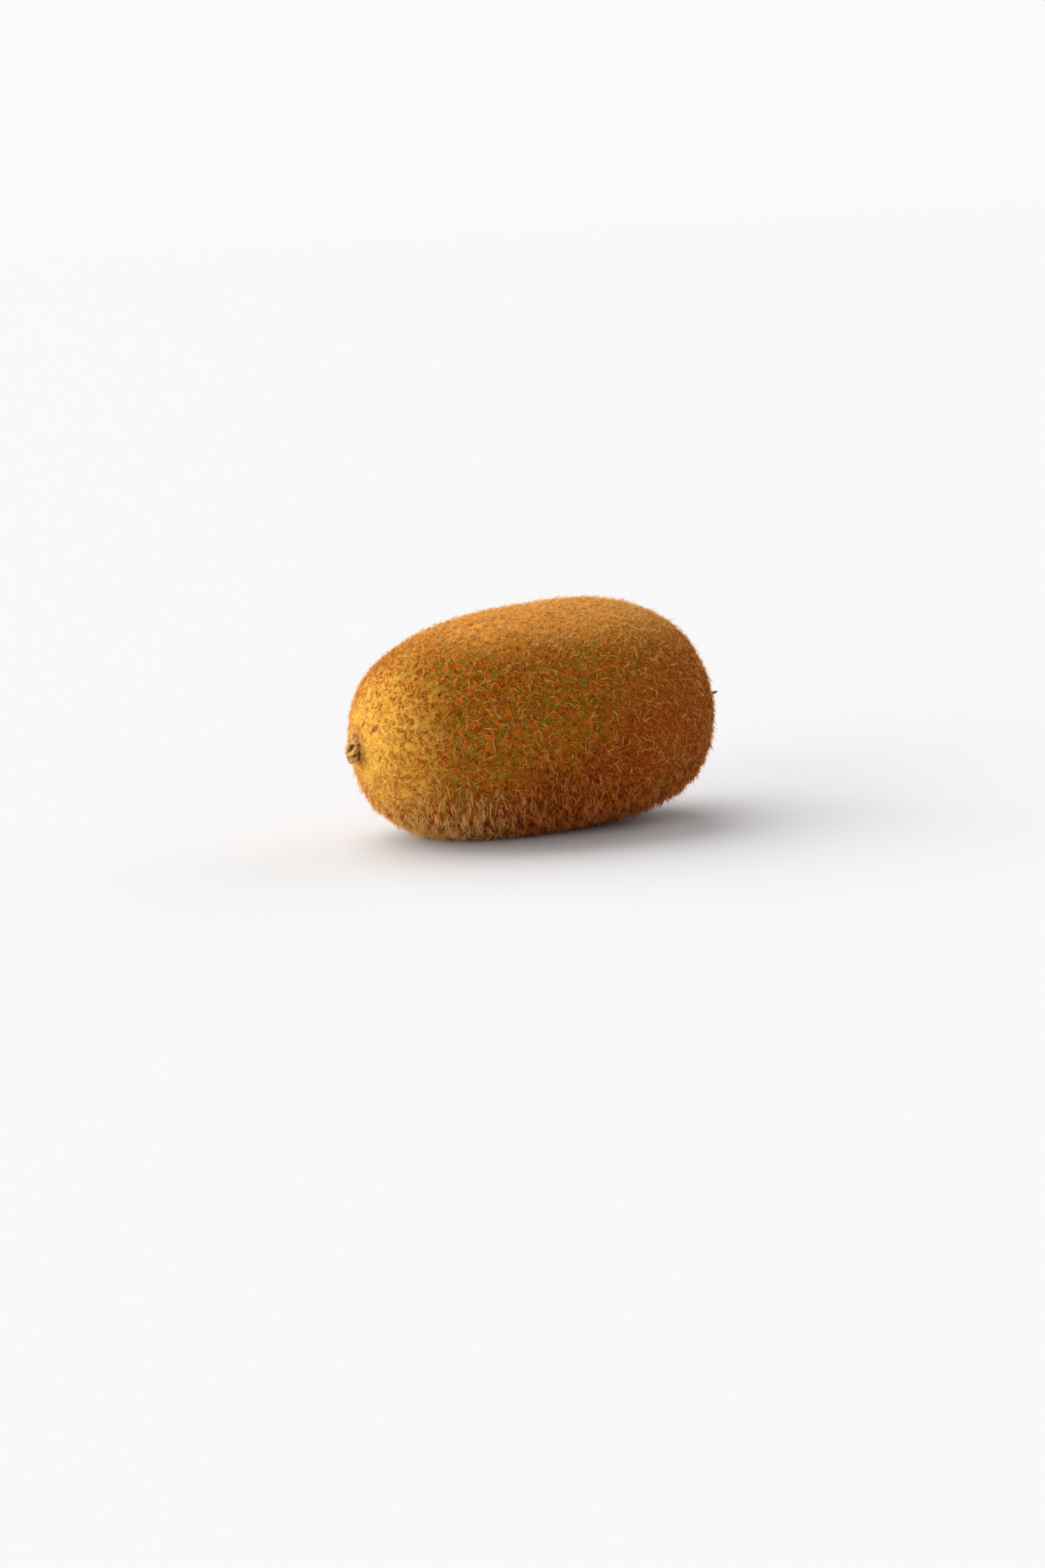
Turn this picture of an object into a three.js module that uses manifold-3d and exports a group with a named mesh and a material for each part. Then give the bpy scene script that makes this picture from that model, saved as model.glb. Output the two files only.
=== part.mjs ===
// A whole kiwi fruit, lying on its side on a small flat spot. Millimetres, +Z up.
//
// The fruit's long axis runs along X, the stem end towards -X and the blossom end towards +X, with the
// stem end dipping a little. The origin is on the surface that the fruit lies on, under the middle of
// its box. Three pieces make it: the fruit with its felted skin, the woody stub of the fruit stalk, and
// the tuft of dried styles that the flower left behind.

import * as THREE from "three";
import { mergeVertices } from "three/addons/utils/BufferGeometryUtils.js";
import Module from "manifold-3d";

const wasm = await Module();
wasm.setup();

// The fruit's size over the skin, without the longest hairs
const FRUIT_LENGTH = 69;
const FRUIT_WIDTH = 47.5;
const FRUIT_HEIGHT = 42.8;

// The fruit's form
const STEM_FULLNESS = 2.52; // exponent of the side outline: 2 is an ellipse, more is a blunter end
const BLOSSOM_FULLNESS = 2.85;
const ARCH = 1.3; // how far the two ends hang below the middle of the axis
const ARCH_RISE = 0.3; // share of the arch by which the middle stands above the axis
const TAPER = 0.012; // how much fuller the blossom end is than the stem end, as a share
const TILT = 3.5; // degrees that the stem end dips as the fruit lies
const REST_DEPTH = 0.4; // how much of the belly is pressed flat where it rests
const OUTLINE_STEPS = 600; // steps in which the outline's area is measured

// Low lumps round the fruit: each is a share of the radius, waves round, waves along, and a phase
const LUMPS = [
  { share: 0.008, round: 3, along: 0.8, phase: 0.6 },
  { share: 0.006, round: 5, along: -1.1, phase: 2.1 },
  { share: 0.004, round: 8, along: 2.3, phase: 4.0 },
];

// The felted skin: tufts of matted hair in low relief, one to each point of the mesh
const SKIN_DETAIL = 21; // splits of each edge of the starting icosahedron
const FELT_HEIGHT = 0.5;
const FELT_RARENESS = 1.5; // power of the draw: the more it is, the fewer tufts are high
const FELT_SEED = 7;

// The stub's place, and the low swelling of skin that stands round it
const STUB_RISE = 1.2; // above the end of the axis
const STUB_ASIDE = -1.5; // along Y from the end of the axis
const COLLAR_RADIUS = 3.2;
const COLLAR_HEIGHT = 0.6;

// The woody stub of the stalk, broken off short, in its seat at the stem end
const STUB_RADIUS = 2.1;
const STUB_HEIGHT = 2.2; // above the skin at the pole
const STUB_PITH = 0.55; // radius of the sunken pith in its broken end
const STUB_SIDES = 24;
const STUB_RAGGED = 0.2; // how uneven its rim is, as a share
const STUB_LEAN = 0.35; // how far its broken end hangs down, for each unit of its height
const STUB_TURN = 0.45; // how far its broken end turns towards -Y, for each unit of its height

// The tuft of dried styles, in its seat at the blossom end
const BOSS_RADIUS = 1.5;
const BOSS_HEIGHT = 0.7;
const BOSS_SIDES = 16;
const STYLE_RADIUS = 0.34;
const STYLE_LENGTH = 2.3; // of the styles in the ring, give or take
const STYLES_ROUND = 9;
const LONG_STYLE_LENGTH = 3.3; // of the thickest one, which hooks over
const LONG_STYLE_RADIUS = 0.5;
const LONG_STYLE_HOOK = 2;
const LONG_STYLE_TURN = 250; // degrees round the boss, from straight down: towards -Y and a little up
const STYLE_SIDES = 6;
const STYLE_SEED = 11;

// The seats that the stub and the tuft stand in
const SEAT_DEPTH = 0.8;
const SEAT_SIDES = 24;
const SEAT_CUT = 10; // length of the cutter that takes a seat out
const GAP = 0.3;

// The block of everything below the surface that the fruit lies on
const GROUND_SIZE = 200;
const GROUND_DEPTH = 50;

const SKIN = new THREE.MeshStandardMaterial({ color: 0x8a5a1e, roughness: 0.95, metalness: 0 });
const WOOD = new THREE.MeshStandardMaterial({ color: 0x6b4a2c, roughness: 0.9, metalness: 0 });
const DRY_STYLE = new THREE.MeshStandardMaterial({ color: 0x4a3a1c, roughness: 0.9, metalness: 0 });

// A seeded draw from 0 to 1, the same ones each time
function seededDraw(seed) {
  let state = seed >>> 0;
  return () => {
    state = (state + 0x6d2b79f5) >>> 0;
    let mixed = Math.imul(state ^ (state >>> 15), 1 | state);
    mixed = (mixed + Math.imul(mixed ^ (mixed >>> 7), 61 | mixed)) ^ mixed;
    return ((mixed ^ (mixed >>> 14)) >>> 0) / 4294967296;
  };
}

// A closed geometry with its shared vertices merged
function merged(geometry) {
  geometry.deleteAttribute("normal");
  geometry.deleteAttribute("uv");
  return mergeVertices(geometry, 1e-4);
}

function toSolid(geometry) {
  const closed = merged(geometry.clone());
  return new wasm.Manifold(
    new wasm.Mesh({
      numProp: 3,
      vertProperties: new Float32Array(closed.attributes.position.array),
      triVerts: new Uint32Array(closed.index.array),
    }),
  );
}

function toGeometry(solid) {
  const mesh = solid.getMesh();
  const geometry = new THREE.BufferGeometry();
  geometry.setAttribute("position", new THREE.BufferAttribute(mesh.vertProperties, 3));
  geometry.setIndex(new THREE.BufferAttribute(mesh.triVerts, 1));
  geometry.computeVertexNormals();
  return geometry;
}

function namedMesh(name, geometry, material) {
  const mesh = new THREE.Mesh(geometry, material);
  mesh.name = name;
  return mesh;
}

// The side outline at an angle from 0 at the stem pole to PI at the blossom pole, as shares of the
// half length and of the half height
function outlineAt(angle) {
  const along = -Math.cos(angle);
  const power = 2 / (along < 0 ? STEM_FULLNESS : BLOSSOM_FULLNESS);
  return { along: Math.sign(along) * Math.abs(along) ** power, out: Math.sin(angle) ** power };
}

// Outline angles spaced so that each step from one to the next covers the same area of skin
function equalAreaAngles(steps) {
  const halfLength = FRUIT_LENGTH / 2;
  const meanRadius = (FRUIT_WIDTH + FRUIT_HEIGHT) / 4;
  const areas = [0];
  let before = outlineAt(0);
  for (let i = 1; i <= steps; i++) {
    const here = outlineAt((Math.PI * i) / steps);
    const slant = Math.hypot(
      (here.along - before.along) * halfLength,
      (here.out - before.out) * meanRadius,
    );
    areas.push(areas[i - 1] + slant * (here.out + before.out));
    before = here;
  }
  return (share) => {
    const wanted = share * areas[steps];
    const next = Math.max(1, areas.findIndex((area) => area >= wanted));
    const part = (wanted - areas[next - 1]) / (areas[next] - areas[next - 1]);
    return (Math.PI * (next - 1 + part)) / steps;
  };
}

// The smooth fruit: a ball of even triangles, each of its points moved onto the fruit's form
function smoothFruit() {
  const ball = merged(new THREE.IcosahedronGeometry(1, SKIN_DETAIL));
  const angleFor = equalAreaAngles(OUTLINE_STEPS);
  const point = ball.attributes.position;
  for (let i = 0; i < point.count; i++) {
    const share = THREE.MathUtils.clamp((1 + point.getX(i)) / 2, 0, 1);
    const { along, out } = outlineAt(angleFor(share));
    const round = Math.atan2(point.getZ(i), point.getY(i));
    let swell = 1 + TAPER * along;
    for (const lump of LUMPS)
      swell += lump.share * Math.cos(lump.round * round + lump.along * Math.PI * along + lump.phase);
    const aside = (FRUIT_WIDTH / 2) * out * swell * Math.cos(round);
    const above = (FRUIT_HEIGHT / 2) * out * swell * Math.sin(round);
    const fromStub = Math.hypot(aside - STUB_ASIDE, above - STUB_RISE);
    const collar = along < 0 ? COLLAR_HEIGHT * Math.exp(-((fromStub / COLLAR_RADIUS) ** 2)) : 0;
    point.setXYZ(
      i,
      (FRUIT_LENGTH / 2) * along - collar,
      aside,
      above + ARCH * (ARCH_RISE - along * along),
    );
  }
  return ball;
}

// Raises each point of the skin by a height of its own, for the tufts of matted hair
function addFelt(skin) {
  const draw = seededDraw(FELT_SEED);
  skin.computeVertexNormals();
  const point = skin.attributes.position;
  const normal = skin.attributes.normal;
  for (let i = 0; i < point.count; i++) {
    const height = FELT_HEIGHT * draw() ** FELT_RARENESS;
    point.setXYZ(
      i,
      point.getX(i) + height * normal.getX(i),
      point.getY(i) + height * normal.getY(i),
      point.getZ(i) + height * normal.getZ(i),
    );
  }
  return skin;
}

// The place of a point in the middle of the seat at one end, so far along X
function seatPlace(end, x) {
  const axisHeight = ARCH * (ARCH_RISE - 1);
  return end < 0 ? [x, STUB_ASIDE, axisHeight + STUB_RISE] : [x, 0, axisHeight];
}

// A round cutter along X that takes a seat out of one end of the fruit
function seatCutter(end, radius) {
  const cutter = new THREE.CylinderGeometry(radius, radius, SEAT_CUT, SEAT_SIDES);
  cutter.rotateZ(Math.PI / 2);
  cutter.translate(...seatPlace(end, end * (FRUIT_LENGTH / 2 + SEAT_CUT / 2 - SEAT_DEPTH)));
  return cutter;
}

function ground() {
  const block = new THREE.BoxGeometry(GROUND_SIZE, GROUND_SIZE, GROUND_DEPTH);
  block.translate(0, 0, -GROUND_DEPTH / 2);
  return block;
}

// The stub of the stalk, standing on z = 0: a waisted plug with a ragged rim round a sunken pith. Its
// broken end is pushed over towards -x, which is down once it stands in its seat, and towards -y.
function stubGeometry() {
  const height = STUB_HEIGHT + SEAT_DEPTH - GAP;
  const profile = [
    [0, 0],
    [STUB_RADIUS, 0],
    [STUB_RADIUS * 1.02, height * 0.3],
    [STUB_RADIUS * 0.84, height * 0.55],
    [STUB_RADIUS * 0.86, height * 0.85],
    [STUB_RADIUS * 0.7, height],
    [STUB_PITH * 1.5, height * 0.95],
    [STUB_PITH, height * 0.72],
    [0, height * 0.7],
  ].map(([x, y]) => new THREE.Vector2(x, y));
  const stub = merged(new THREE.LatheGeometry(profile, STUB_SIDES));
  stub.rotateX(Math.PI / 2);
  const point = stub.attributes.position;
  for (let i = 0; i < point.count; i++) {
    const round = Math.atan2(point.getY(i), point.getX(i));
    const high = point.getZ(i) / height;
    const ragged = Math.cos(3 * round + 0.4) * 0.6 + Math.cos(7 * round + 1.9) * 0.4;
    const swell = 1 + STUB_RAGGED * 0.5 * ragged * high;
    const out = Math.max(0, point.getZ(i) - SEAT_DEPTH);
    point.setXYZ(
      i,
      point.getX(i) * swell - STUB_LEAN * out,
      point.getY(i) * swell - STUB_TURN * out,
      point.getZ(i) * (1 + STUB_RAGGED * ragged * high * high),
    );
  }
  return stub;
}

// One dried style, rooted below z = 0 and curling over towards +X
function styleGeometry(length, radius, curl) {
  const root = BOSS_HEIGHT * 0.8;
  const profile = [
    [0, -root],
    [radius, -root],
    [radius, length * 0.1],
    [radius * 0.8, length * 0.45],
    [radius * 0.5, length * 0.8],
    [radius * 0.3, length],
    [0, length],
  ].map(([x, y]) => new THREE.Vector2(x, y));
  const style = merged(new THREE.LatheGeometry(profile, STYLE_SIDES));
  style.rotateX(Math.PI / 2);
  const point = style.attributes.position;
  for (let i = 0; i < point.count; i++) {
    const high = Math.max(0, point.getZ(i)) / length;
    point.setX(i, point.getX(i) + curl * high * high);
    point.setZ(i, point.getZ(i) - 0.4 * curl * high * high);
  }
  return style;
}

// The tuft, standing on z = 0: a low woody boss with a ring of styles and one in the middle
function tuftGeometry() {
  const draw = seededDraw(STYLE_SEED);
  const height = BOSS_HEIGHT + SEAT_DEPTH - GAP;
  const profile = [
    [0, 0],
    [BOSS_RADIUS, 0],
    [BOSS_RADIUS, height * 0.6],
    [BOSS_RADIUS * 0.75, height * 0.92],
    [0, height],
  ].map(([x, y]) => new THREE.Vector2(x, y));
  const boss = new THREE.LatheGeometry(profile, BOSS_SIDES);
  boss.rotateX(Math.PI / 2);
  let tuft = toSolid(boss);
  const hooked = styleGeometry(LONG_STYLE_LENGTH, LONG_STYLE_RADIUS, LONG_STYLE_HOOK);
  hooked.translate(BOSS_RADIUS * 0.3, 0, height * 0.9);
  hooked.rotateZ(THREE.MathUtils.degToRad(LONG_STYLE_TURN));
  tuft = tuft.add(toSolid(hooked));
  for (let i = 0; i < STYLES_ROUND; i++) {
    const length = STYLE_LENGTH * (0.7 + 0.5 * draw());
    const style = styleGeometry(length, STYLE_RADIUS, 0.4 + 0.9 * draw());
    style.rotateY(0.35 + 0.4 * draw());
    style.translate(BOSS_RADIUS * 0.5, 0, height * 0.85);
    style.rotateZ((2 * Math.PI * (i + 0.35 * draw())) / STYLES_ROUND);
    tuft = tuft.add(toSolid(style));
  }
  return toGeometry(tuft);
}

// Lays the fruit down: tilts it about Y and lifts it until only its pressed spot is below z = 0
function layDown() {
  const tilt = new THREE.Matrix4().makeRotationY(THREE.MathUtils.degToRad(-TILT));
  const smooth = smoothFruit().applyMatrix4(tilt);
  smooth.computeBoundingBox();
  const lift = -smooth.boundingBox.min.z - REST_DEPTH;
  return new THREE.Matrix4().makeTranslation(0, 0, lift).multiply(tilt);
}

function fruitGeometry(laid) {
  const skin = toSolid(addFelt(smoothFruit()).applyMatrix4(laid));
  const stemSeat = toSolid(seatCutter(-1, STUB_RADIUS + GAP).applyMatrix4(laid));
  const blossomSeat = toSolid(seatCutter(1, BOSS_RADIUS + GAP).applyMatrix4(laid));
  return toGeometry(skin.subtract(stemSeat).subtract(blossomSeat).subtract(toSolid(ground())));
}

// Stands a piece that was made on z = 0 in the seat at one end, pointing out of the fruit
function standInSeat(mesh, end) {
  mesh.rotation.y = (end * Math.PI) / 2;
  mesh.position.set(...seatPlace(end, end * (FRUIT_LENGTH / 2 - SEAT_DEPTH + GAP)));
  return mesh;
}

const laid = layDown();
const ends = new THREE.Group();
ends.applyMatrix4(laid);
ends.add(standInSeat(namedMesh("stem_stub", toGeometry(toSolid(stubGeometry())), WOOD), -1));
ends.add(standInSeat(namedMesh("dried_styles", tuftGeometry(), DRY_STYLE), 1));

const kiwi = new THREE.Group();
kiwi.add(namedMesh("fruit", fruitGeometry(laid), SKIN));
kiwi.add(ends);

// Centres the part over the origin
kiwi.updateMatrixWorld(true);
const middle = new THREE.Box3().setFromObject(kiwi, true).getCenter(new THREE.Vector3());
kiwi.position.set(-middle.x, -middle.y, 0);

export default kiwi;
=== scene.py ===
"""A whole kiwi fruit on a pale stage, with felted skin, hairs, stalk stub and dried styles."""

import math
from types import SimpleNamespace
from typing import NamedTuple

import bmesh
import bpy
import numpy as np
from bpy.props import FloatProperty, FloatVectorProperty, IntProperty, PointerProperty
from mathutils import Matrix, Vector, kdtree, noise


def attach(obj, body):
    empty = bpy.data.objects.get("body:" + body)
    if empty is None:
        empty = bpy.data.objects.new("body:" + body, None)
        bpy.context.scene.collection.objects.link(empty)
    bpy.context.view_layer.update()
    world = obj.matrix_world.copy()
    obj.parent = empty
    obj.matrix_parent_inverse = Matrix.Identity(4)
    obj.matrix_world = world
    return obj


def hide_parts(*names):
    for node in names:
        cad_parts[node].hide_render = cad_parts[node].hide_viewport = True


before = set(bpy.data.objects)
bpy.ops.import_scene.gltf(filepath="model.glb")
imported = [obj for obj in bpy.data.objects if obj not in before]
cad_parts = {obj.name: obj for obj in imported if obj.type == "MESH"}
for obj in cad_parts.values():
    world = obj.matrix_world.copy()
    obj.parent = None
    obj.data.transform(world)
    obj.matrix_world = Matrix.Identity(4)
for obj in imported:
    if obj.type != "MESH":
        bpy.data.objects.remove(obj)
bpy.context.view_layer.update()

bl_info = {
    "name": "Kiwi fruit",
    "version": (1, 0, 0),
    "blender": (4, 5, 0),
    "location": "View3D > Sidebar > Kiwi",
    "description": "Dresses the kiwi fruit in felt, fuzz and long hairs, and lights it",
    "category": "Object",
}

MM = 0.001
BODY = "root"
MAP_NAME = "OFBake"

# The fruit's form, the same as its solid's but for the height of the collar
FRUIT_MIDDLE = Vector((-0.152, -0.055, 20.906)) * MM
STEM_FULLNESS = 2.52
BLOSSOM_FULLNESS = 2.85
TAPER = 0.012
OUTLINE_STEPS = 600
AXIS_RISE = 0.3  # share of the arch by which the middle of the axis stands up
LUMPS = (  # share of the radius, waves round, waves along, phase
    (0.008, 3, 0.8, 0.6),
    (0.006, 5, -1.1, 2.1),
    (0.004, 8, 2.3, 4.0),
)
STUB_RISE = 1.2 * MM  # above the end of the axis
STUB_ASIDE = -1.5 * MM  # along Y from the end of the axis
COLLAR_RADIUS = 3.2 * MM
COLLAR_HEIGHT = 0.9 * MM  # 0.3 mm more than the solid's
SEAT_DEPTH = 0.8 * MM
SEAT_GAP = 0.3 * MM
STUB_SEAT_RADIUS = 2.3 * MM

# The flat spot that the fruit lies on, and the hairs round it
FLOOR_FELT = 0.25 * MM  # hairs lower than this are pressed down
PRESSED = 0.12  # share of its depth that a pressed hair keeps
LOWEST_HAIR = 0.01 * MM

# The regions of the skin, each from where it is clear to where it is full
STEM_REGION = (19 * MM, 5 * MM)  # from the stub
BELLY_REGION = (14 * MM, 5 * MM)  # above the floor
# The back region holds a painted highlight: skin and hairs paler on the top, where the light falls
BACK_HIGHLIGHT_REGION = (32 * MM, 42.5 * MM)
FAR_REGION = (4 * MM, 24 * MM)  # along the fruit, towards the styles
RED_SLOPE = 0.5  # how fast the red underside, partly painted shade, rises towards the styles
RED_REGION = (25 * MM, 9 * MM)
RED_ALONG = (-24 * MM, -6 * MM)

# The skin's finish
SKIN_SPLITS = 7  # times that the ball it starts as is split
PIMPLE_SIZE = 1.1 * MM
FINE_PIMPLE_SIZE = 0.55 * MM
SPOT_SIZE = 0.95 * MM
SPOT_EDGE = (0.50, 0.60)  # of the noise, from bare skin to a spot
SPOTS_IN_GOLD = 0.3  # how strong the spots are in the golden skin
CLOUD_SIZE = 7 * MM  # of the patches that break up the regions' edges
CLOUD_SHIFT = 9 * MM
GOLDEN_AND_LIT_SKIN = (-20 * MM, -33 * MM)  # along the fruit
BACK_HIGHLIGHT_SKIN = (34 * MM, 43 * MM)
BACK_HIGHLIGHT_TAN = 0.8  # share of tan on the back: a painted highlight where light falls on the top
RED_DARK_AND_SHADED = 0.85  # share of dark skin on the red underside: partly its own colour and partly painted shade
FAR_DARK = 0.35  # share of dark skin at the styles
GRAIN_SIZE = 0.25 * MM
GRAIN_DARK = 0.35  # share of dark in the grain


def millimetres(name, description, default):
    """A length in mm that a user can change."""
    return FloatProperty(name=name, description=description, default=default * MM, unit="LENGTH")


def degrees(name, description, default):
    """An angle in degrees that a user can change."""
    default = math.radians(default)
    return FloatProperty(name=name, description=description, default=default, subtype="ANGLE")


def hair_count(name, description, default):
    """A number of hairs that a user can change."""
    return IntProperty(name=name, description=description, default=default, min=0)


def brightness(name, description, default):
    """The strength of a light that a user can change."""
    return FloatProperty(name=name, description=description, default=default)


def colour(name, description, default):
    """A colour that a user can change."""
    return FloatVectorProperty(
        name=name, description=description, default=default, size=3, subtype="COLOR", min=0, max=1
    )


class KiwiForm(bpy.types.PropertyGroup):
    length: millimetres("Length", "Along the fruit, over the skin", 69)
    width: millimetres("Width", "Across the fruit as it lies", 47.5)
    height: millimetres("Height", "From the belly to the back", 42.8)
    arch: millimetres("Arch", "How far the ends hang", 1.3)
    tilt: degrees("Tilt", "How far the stalk end dips", 3.5)
    relief: millimetres("Relief", "Height of the skin's pimples", 0.16)


class KiwiColours(bpy.types.PropertyGroup):
    skin_olive: colour("Olive skin", "The skin between the hairs", (0.20, 0.125, 0.005))
    skin_rust: colour("Rusty skin", "The spots that the hairs grow from", (0.56, 0.12, 0.004))
    # Golden round the stalk: partly the skin's own colour and partly painted light from the left
    skin_gold: colour("Golden skin", "The skin round the stalk", (0.74, 0.44, 0.06))
    # The dark belly is partly the skin's own colour and partly painted shade
    skin_dark: colour("Dark skin", "The skin of the belly", (0.32, 0.058, 0.006))
    skin_grain: colour("Skin grain", "The fine dark grain of the skin", (0.10, 0.03, 0.004))
    hair_dark: colour("Dark hair", "The darkest hairs", (0.38, 0.058, 0.005))
    hair_rust: colour("Rusty hair", "The hairs of the middle", (0.78, 0.19, 0.008))
    # Tan hairs also make the painted highlight on the back
    hair_tan: colour("Tan hair", "The hairs of the back", (0.88, 0.38, 0.05))
    # Golden hairs round the stalk: partly their own colour and partly painted light from the left
    hair_gold: colour("Golden hair", "The hairs round the stalk", (0.97, 0.60, 0.12))
    hair_blond: colour("Blond hair", "The longest hairs", (0.95, 0.66, 0.27))
    hair_peach: colour("Peach hair", "The hairs of the belly", (0.98, 0.34, 0.07))
    hair_pale: colour("Pale hair", "The tips of the pale hairs", (1.0, 0.83, 0.50))
    # Painted shade at the roots of the hairs, where shade falls among them near the skin
    root_painted_shade: colour("Root shade", "What a hair's root has left of its colour", (0.50, 0.27, 0.12))
    pale_root_painted_shade: colour("Pale root shade", "What a pale hair's root has left of it", (0.75, 0.52, 0.28))
    wood_light: colour("Light wood", "The lumps of the stub", (0.42, 0.21, 0.045))
    wood_pale: colour("Pale wood", "The grain of the stub", (0.64, 0.38, 0.12))
    # Painted shade in the stub's split, round its foot and on its lower side; also the sepals' own
    # dark tone
    wood_shade_and_dark: colour("Dark wood", "The creases of the stub", (0.09, 0.03, 0.01))
    scab: colour("Scab", "The small scabs near the stalk", (0.20, 0.05, 0.006))
    style_light: colour("Light style", "The tips of the dried styles", (0.24, 0.15, 0.04))
    style_dark: colour("Dark style", "The roots of the dried styles", (0.12, 0.07, 0.015))


class KiwiFuzz(bpy.types.PropertyGroup):
    felt_count: hair_count("Felt", "Hairs of the short felt", 26000)
    fuzz_count: hair_count("Fuzz", "Curly hairs of the fuzz", 29000)
    down_count: hair_count("Down", "Fine pale hairs that stand up", 28000)
    collar_count: hair_count("Collar hairs", "Hairs round the stub", 900)
    long_count: hair_count("Long hairs", "Long hairs", 5800)
    belly_count: hair_count("Belly hairs", "Long hairs of the belly", 8000)
    felt_length: millimetres("Felt length", "Length of the felt", 0.7)
    down_length: millimetres("Down length", "Length of the down", 1.1)
    fuzz_length: millimetres("Fuzz length", "Length of the fuzz", 1.35)
    long_length: millimetres("Long length", "Length of the long hairs", 2.4)


class KiwiStage(bpy.types.PropertyGroup):
    floor: colour("Floor", "The pale floor", (0.661, 0.6655, 0.678))
    front_power: brightness("Front light", "The low light at the front left", 1.75)
    key_power: brightness("Key light", "The window on the left", 2.9)
    top_power: brightness("Top light", "The light above and behind", 2.6)
    rim_power: brightness("Rim light", "The light behind on the right", 1.15)
    sky: brightness("Sky", "Strength of the light all round", 0.31)
    backdrop: brightness("Backdrop", "Brightness of the backdrop past the floor", 0.95)
    azimuth: degrees("Azimuth", "Turn of the camera from the front", -18)
    elevation: degrees("Elevation", "Height of the camera above the fruit", 10)
    roll: degrees("Roll", "Lean of the camera", -2.7)
    distance: millimetres("Distance", "From the camera to the fruit", 750)


def settings(group):
    """One group of the settings that a user can change."""
    return getattr(bpy.context.scene, f"kiwi_{group}")


# The fruit's form


def laid_down():
    """The matrix that lays the fruit on its flat spot."""
    form = settings("form")
    return Matrix.Translation(FRUIT_MIDDLE) @ Matrix.Rotation(-form.tilt, 4, "Y")


def moved(points, matrix):
    """The points, moved by a matrix."""
    matrix = np.array(matrix)
    return points @ matrix[:3, :3].T + matrix[:3, 3]


def outline_at(angle):
    """The side outline from 0 at the stalk to pi at the styles: shares of half length and height."""
    along = -np.cos(angle)
    power = 2 / np.where(along < 0, STEM_FULLNESS, BLOSSOM_FULLNESS)
    return np.sign(along) * np.abs(along) ** power, np.clip(np.sin(angle), 0, 1) ** power


def equal_area_angles(share):
    """Outline angles at which a share of the skin lies towards the stalk."""
    form = settings("form")
    angle = np.linspace(0, math.pi, OUTLINE_STEPS + 1)
    along, out = outline_at(angle)
    mean_radius = (form.width + form.height) / 4
    slant = np.hypot(np.diff(along) * form.length / 2, np.diff(out) * mean_radius)
    area = np.append(0, np.cumsum(slant * (out[1:] + out[:-1])))
    return np.interp(share, area / area[-1], angle)


def fruit_points(directions):
    """The smooth fruit's surface at the directions of a ball, before it is laid down."""
    form = settings("form")
    share = np.clip((1 + directions[:, 0]) / 2, 0, 1)
    along, out = outline_at(equal_area_angles(share))
    around = np.arctan2(directions[:, 2], directions[:, 1])
    swell = 1 + TAPER * along
    for size, waves_round, waves_along, phase in LUMPS:
        swell += size * np.cos(waves_round * around + waves_along * math.pi * along + phase)
    aside = form.width / 2 * out * swell * np.cos(around)
    above = form.height / 2 * out * swell * np.sin(around)
    off_stub = np.hypot(aside - STUB_ASIDE, above - STUB_RISE)
    collar = COLLAR_HEIGHT * np.exp(-((off_stub / COLLAR_RADIUS) ** 2))
    x = form.length / 2 * along - np.where(along < 0, collar, 0)
    return np.stack([x, aside, above + form.arch * (AXIS_RISE - along**2)], 1)


def stem_end():
    """The matrix of the stub's seat: its z points out of the fruit, and its x up."""
    form = settings("form")
    height = form.arch * (AXIS_RISE - 1) + STUB_RISE
    foot = Vector((-form.length / 2 + SEAT_DEPTH - SEAT_GAP, STUB_ASIDE, height))
    return laid_down() @ Matrix.Translation(foot) @ Matrix.Rotation(-math.pi / 2, 4, "Y")


def from_stub(points):
    """How far points on the fruit as it lies are from the stub's seat."""
    return np.linalg.norm(points - np.array(stem_end().translation), axis=1)


def blossom_end():
    """The matrix of the styles' seat: its z points out of the fruit, and its x down."""
    form = settings("form")
    foot = Vector((form.length / 2 - SEAT_DEPTH + SEAT_GAP, 0, form.arch * (AXIS_RISE - 1)))
    return laid_down() @ Matrix.Translation(foot) @ Matrix.Rotation(math.pi / 2, 4, "Y")


def smooth_step(value, low, high):
    """0 below low, 1 above high, and a smooth rise between."""
    share = np.clip((value - low) / (high - low), 0, 1)
    return share * share * (3 - 2 * share)


def noise_at(points, scale, seed=0.0):
    """Smooth noise from about -1 to 1 at each point, with lumps of the size scale."""
    shift = Vector((seed, seed * 1.7, seed * 2.3))
    return np.array([noise.noise(Vector(point) / scale + shift) for point in points])


# Meshes and materials


def mesh_from(bm, name):
    """A mesh with what a bmesh holds, which is freed."""
    mesh = bpy.data.meshes.new(name)
    bm.to_mesh(mesh)
    bm.free()
    return mesh


def add_to(whole, part, place):
    """Moves a small form to its place and adds it to a larger one."""
    bmesh.ops.transform(part, matrix=place, verts=part.verts)
    mesh = mesh_from(part, "part")
    whole.from_mesh(mesh)
    bpy.data.meshes.remove(mesh)


def cut_across(bm, lengths):
    """Cuts a form that is 1 high into equal lengths, so that it can bend."""
    for cut in range(1, lengths):
        everything = bm.verts[:] + bm.edges[:] + bm.faces[:]
        height = (0, 0, cut / lengths)
        bmesh.ops.bisect_plane(bm, geom=everything, plane_co=height, plane_no=(0, 0, 1))


def points_of(mesh):
    flat = np.empty(len(mesh.vertices) * 3)
    mesh.vertices.foreach_get("co", flat)
    return flat.reshape(-1, 3)


def set_points(mesh, points):
    mesh.vertices.foreach_set("co", np.ascontiguousarray(points, dtype=np.float32).ravel())
    mesh.update()


def normals_of(mesh):
    flat = np.empty(len(mesh.vertices) * 3)
    mesh.vertex_normals.foreach_get("vector", flat)
    return flat.reshape(-1, 3)


def placed(name, data):
    """An object for a mesh, a light or a camera, in the scene."""
    thing = bpy.data.objects.new(name, data)
    bpy.context.scene.collection.objects.link(thing)
    return thing


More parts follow.
